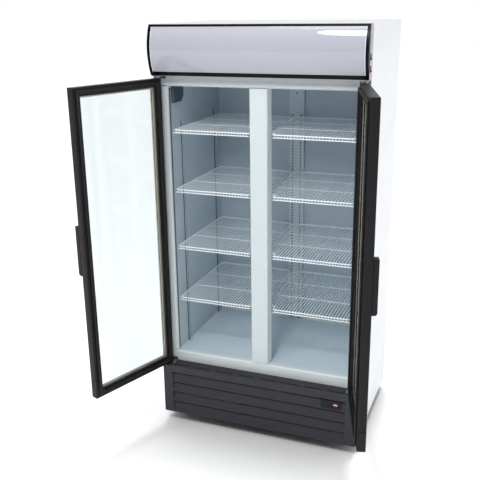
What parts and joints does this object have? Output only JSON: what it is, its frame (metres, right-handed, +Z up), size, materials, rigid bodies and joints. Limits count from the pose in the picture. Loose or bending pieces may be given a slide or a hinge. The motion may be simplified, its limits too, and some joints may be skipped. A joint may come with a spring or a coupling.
{
  "type": "glass door display refrigerator",
  "caption": "Upright display refrigerator with hinged glass doors, wire shelves, a lit header and a louvred machine compartment.",
  "frame": {"origin": "on the floor, on the cabinet's middle plane, midway front to back between the open doors' edges and the rear panel", "axes": "+Z up, +Y from the doors to the back, +X to the right seen from the front"},
  "size_m": [1.3352, 1.1737, 1.995],
  "materials": {
    "white_panel": "gloss",
    "galvanised": "satin",
    "base_steel": "satin",
    "foam": "matte",
    "liner": "satin",
    "frame_strip": "satin",
    "post": "gloss",
    "light_strip": "satin",
    "driver_box": "satin",
    "channel": "satin",
    "clip": "satin",
    "shelf_wire": "satin",
    "header_case": "satin",
    "header_trim": "gloss",
    "header_panel": "gloss",
    "lamp": "satin",
    "switch_body": "satin",
    "rocker": "gloss",
    "grille": "satin",
    "screw": "satin",
    "controller": "gloss",
    "compressor": "satin",
    "rubber": "matte",
    "fins": "satin",
    "shroud": "satin",
    "fan": "satin",
    "motor": "satin",
    "copper": "satin",
    "cover": "satin",
    "drain": "satin",
    "pan": "matte",
    "inlet": "satin",
    "bracket": "satin",
    "foot": "satin",
    "door_frame": "satin",
    "door_glass": "polished",
    "spacer": "satin",
    "gasket": "matte",
    "pull": "satin"
  },
  "bodies": {
    "cabinet": {"side_panel_left": "white_panel", "side_panel_right": "white_panel", "rear_panel": "galvanised", "top_panel": "white_panel", "base_frame": "base_steel", "insulation": "foam", "inner_liner": "liner", "front_frame": "frame_strip", "mullion": "post", "light_strips": "light_strip", "lamp_driver_box": "driver_box", "wall_channels": "channel", "centre_channels": "channel", "shelf_clips": "clip", "header_box": "header_case", "header_trim": "header_trim", "header_panel": "header_panel", "header_lamp": "lamp", "switch_housings": "switch_body", "grille_panel": "grille", "panel_screws": "screw", "controller": "controller", "compressor": "compressor", "compressor_mounts": "rubber", "condenser_coil": "fins", "condenser_shroud": "shroud", "fan_motors": "motor", "filter_drier": "copper", "refrigerant_lines": "copper", "evaporator_cover": "cover", "evaporator_coil": "fins", "drip_pan": "pan", "drain_tray": "drain", "rear_grille": "base_steel", "mains_inlet": "inlet", "hinge_brackets": "bracket", "levelling_feet": "foot"},
    "left_door": {"door_frame_left": "door_frame", "door_glass_left": "door_glass", "door_spacer_left": "spacer", "door_gasket_left": "gasket", "door_pull_left": "pull"},
    "right_door": {"door_frame_right": "door_frame", "door_glass_right": "door_glass", "door_spacer_right": "spacer", "door_gasket_right": "gasket", "door_pull_right": "pull"},
    "shelf_1_left": {"shelf_1_left": "shelf_wire"},
    "shelf_1_right": {"shelf_1_right": "shelf_wire"},
    "shelf_2_left": {"shelf_2_left": "shelf_wire"},
    "shelf_2_right": {"shelf_2_right": "shelf_wire"},
    "shelf_3_left": {"shelf_3_left": "shelf_wire"},
    "shelf_3_right": {"shelf_3_right": "shelf_wire"},
    "shelf_4_left": {"shelf_4_left": "shelf_wire"},
    "shelf_4_right": {"shelf_4_right": "shelf_wire"},
    "rocker_upper": {"rocker_upper": "rocker"},
    "rocker_lower": {"rocker_lower": "rocker"},
    "condenser_fan": {"condenser_fan": "fan"},
    "evaporator_fan_left": {"evaporator_fan_left": "fan"},
    "evaporator_fan_right": {"evaporator_fan_right": "fan"}
  },
  "joints": [
    {"name": "left_door_hinge", "type": "hinge", "parent": "cabinet", "child": "left_door", "pos_m": [-0.486, -0.114, 1.0455], "axis": [0, 0, -1], "range_deg": [-109.4, 10.6]},
    {"name": "right_door_hinge", "type": "hinge", "parent": "cabinet", "child": "right_door", "pos_m": [0.486, -0.114, 1.0455], "axis": [0, 0, 1], "range_deg": [-106.5, 13.5]},
    {"name": "shelf_1_left_lift", "type": "slide", "parent": "cabinet", "child": "shelf_1_left", "axis": [0, 0, 1], "range_m": [0, 0.03]},
    {"name": "shelf_1_right_lift", "type": "slide", "parent": "cabinet", "child": "shelf_1_right", "axis": [0, 0, 1], "range_m": [0, 0.03]},
    {"name": "shelf_2_left_lift", "type": "slide", "parent": "cabinet", "child": "shelf_2_left", "axis": [0, 0, 1], "range_m": [0, 0.03]},
    {"name": "shelf_2_right_lift", "type": "slide", "parent": "cabinet", "child": "shelf_2_right", "axis": [0, 0, 1], "range_m": [0, 0.03]},
    {"name": "shelf_3_left_lift", "type": "slide", "parent": "cabinet", "child": "shelf_3_left", "axis": [0, 0, 1], "range_m": [0, 0.03]},
    {"name": "shelf_3_right_lift", "type": "slide", "parent": "cabinet", "child": "shelf_3_right", "axis": [0, 0, 1], "range_m": [0, 0.03]},
    {"name": "shelf_4_left_lift", "type": "slide", "parent": "cabinet", "child": "shelf_4_left", "axis": [0, 0, 1], "range_m": [0, 0.03]},
    {"name": "shelf_4_right_lift", "type": "slide", "parent": "cabinet", "child": "shelf_4_right", "axis": [0, 0, 1], "range_m": [0, 0.03]},
    {"name": "rocker_upper_tilt", "type": "hinge", "parent": "cabinet", "child": "rocker_upper", "pos_m": [0.5, -0.109, 1.863], "axis": [0, 1, 0], "range_deg": [0, 20]},
    {"name": "rocker_lower_tilt", "type": "hinge", "parent": "cabinet", "child": "rocker_lower", "pos_m": [0.5, -0.109, 1.814], "axis": [0, 1, 0], "range_deg": [0, 20]},
    {"name": "condenser_fan_spin", "type": "hinge", "parent": "cabinet", "child": "condenser_fan", "pos_m": [-0.28, 0.009, 0.184], "axis": [0, 1, 0], "continuous": true},
    {"name": "evaporator_fan_left_spin", "type": "hinge", "parent": "cabinet", "child": "evaporator_fan_left", "pos_m": [-0.22, 0.131, 1.754], "axis": [0, 0, 1], "continuous": true},
    {"name": "evaporator_fan_right_spin", "type": "hinge", "parent": "cabinet", "child": "evaporator_fan_right", "pos_m": [0.22, 0.131, 1.754], "axis": [0, 0, 1], "continuous": true}
  ]
}
